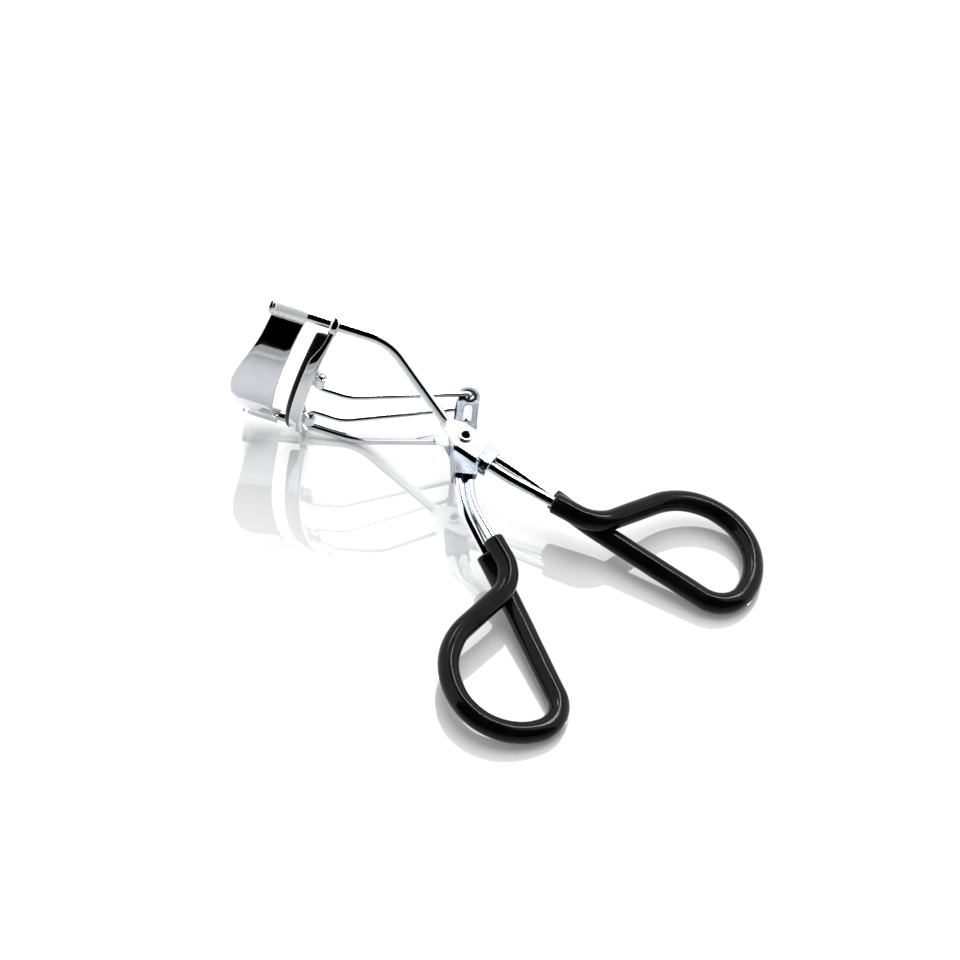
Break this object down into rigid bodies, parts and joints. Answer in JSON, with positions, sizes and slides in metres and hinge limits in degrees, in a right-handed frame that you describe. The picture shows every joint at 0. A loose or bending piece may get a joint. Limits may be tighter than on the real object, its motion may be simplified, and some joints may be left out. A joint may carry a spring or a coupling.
{
  "type": "eyelash curler",
  "caption": "Scissor-action eyelash curler: looped wire handles on a rivet drive a bail that slides a padded jaw along two guide rods to a curved plate.",
  "frame": {"origin": "on the axis of the pivot rivet, midway between its two heads", "axes": "+Z along the rivet's axis and across the jaws; +X forward along the guide rods to the jaws; +Y towards the side the jaws bulge to"},
  "size_m": [0.1046, 0.0686, 0.0356],
  "materials": {
    "plated_steel": "bright polished plating",
    "grip_vinyl": "glossy soft vinyl",
    "silicone": "satin"
  },
  "bodies": {
    "frame": {"frame_bracket": "plated_steel", "pivot_rivet": "plated_steel", "upper_guide_rod": "plated_steel", "lower_guide_rod": "plated_steel", "upper_rod_stop": "plated_steel", "lower_rod_stop": "plated_steel", "fixed_jaw_plate": "plated_steel", "fixed_loop_wire": "plated_steel", "fixed_loop_grip": "grip_vinyl"},
    "lever": {"lever_bracket": "plated_steel", "lever_loop_wire": "plated_steel", "lever_loop_grip": "grip_vinyl"},
    "moving_jaw": {"jaw_channel": "plated_steel", "silicone_pad": "silicone", "upper_guide_eye": "plated_steel", "lower_guide_eye": "plated_steel", "upper_bail_barrel": "plated_steel", "lower_bail_barrel": "plated_steel"},
    "bail": {"push_bail": "plated_steel"}
  },
  "joints": [
    {"name": "lever_pivot", "type": "hinge", "parent": "frame", "child": "lever", "pos_m": [0, 0, 0], "axis": [0, 0, 1], "range_deg": [-14, 14]},
    {"name": "jaw_slide", "type": "slide", "parent": "frame", "child": "moving_jaw", "axis": [1, 0, 0], "range_m": [-0.00259, 0.00259]},
    {"name": "bail_hinge", "type": "hinge", "parent": "moving_jaw", "child": "bail", "pos_m": [0.0285, 0.0004, 0], "axis": [0, 0, 1], "range_deg": [-1.5, 1.5]}
  ],
  "couplings": [
    {"joint": "jaw_slide", "follows": "lever_pivot", "m_per_rad": 0.0106},
    {"joint": "bail_hinge", "follows": "lever_pivot", "ratio": -0.05}
  ]
}
